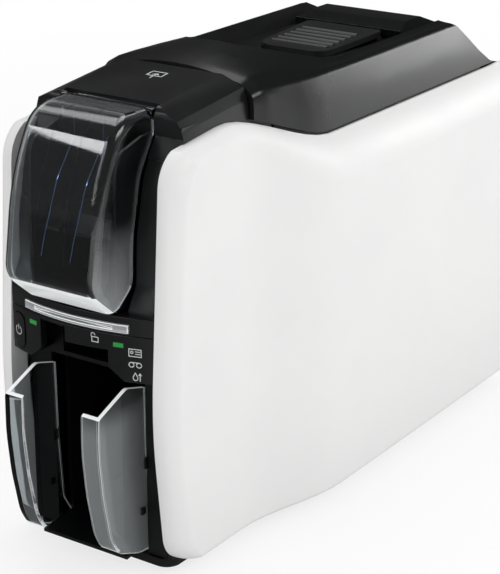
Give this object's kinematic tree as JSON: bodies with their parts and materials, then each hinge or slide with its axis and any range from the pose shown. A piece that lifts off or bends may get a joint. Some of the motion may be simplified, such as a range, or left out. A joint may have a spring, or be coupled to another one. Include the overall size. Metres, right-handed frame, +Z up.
{
  "type": "id card printer",
  "caption": "Desktop card printer with a flared white shell, black hinged top cover, clear hinged input door and clear output wings.",
  "frame": {"origin": "on the table, under the middle of the printer's bounding box", "axes": "+X right as seen from the front, +Y towards the rear, +Z up"},
  "size_m": [0.1574, 0.3979, 0.2795],
  "materials": {
    "white_shell": "satin moulded",
    "satin_black": "satin moulded",
    "gloss_black": "polished",
    "charcoal": "fine grained",
    "frame_black": "matt",
    "tray_black": "matt",
    "tray_grey": "matt",
    "clear": "clear polished plastic",
    "blue_tint": "blue tinted clear plastic",
    "slot_bar": "translucent",
    "led_green": "lit green",
    "foot_rubber": "matt",
    "belt_rubber": "matt",
    "roller_rubber": "ground",
    "roller_cleaning": "tacky",
    "plate_steel": "zinc plated",
    "gear_steel": "machined",
    "head_aluminium": "anodised",
    "ribbon": "film",
    "board_green": "solder mask",
    "socket_black": "matt",
    "socket_metal": "plated"
  },
  "bodies": {
    "printer_base": {"base_tray": "frame_black", "front_frame": "frame_black", "rear_cover": "charcoal", "foot_front_right": "foot_rubber", "foot_front_left": "foot_rubber", "foot_back_right": "foot_rubber", "foot_back_left": "foot_rubber", "side_frame_right": "frame_black", "side_frame_left": "frame_black", "side_panel_right": "white_shell", "side_panel_left": "white_shell", "dc_inlet": "socket_black", "usb_socket": "socket_metal", "network_socket": "socket_metal", "front_cover": "satin_black", "upper_bezel": "satin_black", "lower_bezel": "satin_black", "feed_slot_bar": "slot_bar", "led_lens_right": "led_green", "led_lens_left": "led_green", "input_hopper": "tray_black", "output_wing_right": "clear", "output_wing_left": "clear", "output_tray": "tray_black", "output_bin": "tray_black", "transport_plate_right": "plate_steel", "transport_plate_left": "plate_steel", "drive_belt": "belt_rubber", "exit_belt": "belt_rubber", "drive_motor": "plate_steel", "ribbon_cartridge": "tray_grey", "ribbon_film": "ribbon", "main_board": "board_green", "bay_liner": "charcoal", "hinge_ear_right": "frame_black", "hinge_ear_left": "frame_black"},
    "top_cover": {"lid_shell": "satin_black", "lid_deck": "gloss_black", "head_bracket": "plate_steel", "print_head": "head_aluminium"},
    "latch": {"latch_pad": "charcoal"},
    "input_door": {"input_door": "clear", "door_fin_right": "blue_tint", "door_fin_left": "blue_tint"},
    "power_button": {"power_button": "satin_black"},
    "card_weight": {"card_weight": "tray_black"},
    "pick_roller": {"pick_roller": "roller_rubber"},
    "cleaning_roller": {"cleaning_roller": "roller_cleaning"},
    "platen_roller": {"platen_roller": "roller_rubber"},
    "rear_roller": {"rear_roller": "roller_rubber"},
    "exit_roller": {"exit_roller": "roller_rubber"},
    "motor_pinion": {"motor_pinion": "gear_steel"},
    "supply_spool": {"supply_spool": "ribbon"},
    "takeup_spool": {"takeup_spool": "ribbon"}
  },
  "joints": [
    {"name": "lid_hinge", "type": "hinge", "parent": "printer_base", "child": "top_cover", "pos_m": [0, 0.18, 0.234], "axis": [-1, 0, 0], "range_deg": [0, 70]},
    {"name": "latch_rock", "type": "hinge", "parent": "top_cover", "child": "latch", "pos_m": [0, 0.09816, 0.2539], "axis": [1, 0, 0], "range_deg": [0, 4], "stiffness_Nm_per_rad": 2, "springref_deg": -2.86},
    {"name": "door_hinge", "type": "hinge", "parent": "printer_base", "child": "input_door", "pos_m": [0, -0.1415, 0.2626], "axis": [-1, 0, 0], "range_deg": [0, 85]},
    {"name": "power_press", "type": "slide", "parent": "printer_base", "child": "power_button", "axis": [0, 1, 0], "range_m": [0, 0.0012], "stiffness_N_per_m": 400},
    {"name": "weight_slide", "type": "slide", "parent": "printer_base", "child": "card_weight", "axis": [0, 0, 1], "range_m": [0, 0.024]},
    {"name": "platen_turn", "type": "hinge", "parent": "printer_base", "child": "platen_roller", "pos_m": [0, 0.00994, 0.156], "axis": [1, 0, 0], "continuous": true},
    {"name": "pick_turn", "type": "hinge", "parent": "printer_base", "child": "pick_roller", "pos_m": [0, -0.10494, 0.156], "axis": [1, 0, 0], "continuous": true},
    {"name": "cleaning_turn", "type": "hinge", "parent": "printer_base", "child": "cleaning_roller", "pos_m": [0, -0.07791, 0.156], "axis": [1, 0, 0], "continuous": true},
    {"name": "rear_turn", "type": "hinge", "parent": "printer_base", "child": "rear_roller", "pos_m": [0, 0.06201, 0.156], "axis": [1, 0, 0], "continuous": true},
    {"name": "exit_turn", "type": "hinge", "parent": "printer_base", "child": "exit_roller", "pos_m": [0, -0.12203, 0.126], "axis": [1, 0, 0], "continuous": true},
    {"name": "motor_turn", "type": "hinge", "parent": "printer_base", "child": "motor_pinion", "pos_m": [0, 0.03104, 0.137], "axis": [1, 0, 0], "continuous": true},
    {"name": "supply_turn", "type": "hinge", "parent": "printer_base", "child": "supply_spool", "pos_m": [0, 0.05605, 0.196], "axis": [1, 0, 0], "continuous": true},
    {"name": "takeup_turn", "type": "hinge", "parent": "printer_base", "child": "takeup_spool", "pos_m": [0, -0.03617, 0.196], "axis": [1, 0, 0], "continuous": true}
  ],
  "couplings": [
    {"joint": "pick_turn", "follows": "platen_turn", "ratio": 1},
    {"joint": "cleaning_turn", "follows": "platen_turn", "ratio": 1},
    {"joint": "rear_turn", "follows": "platen_turn", "ratio": 1},
    {"joint": "exit_turn", "follows": "platen_turn", "ratio": 1},
    {"joint": "motor_turn", "follows": "platen_turn", "ratio": -2.5},
    {"joint": "takeup_turn", "follows": "supply_turn", "ratio": 1.4}
  ]
}
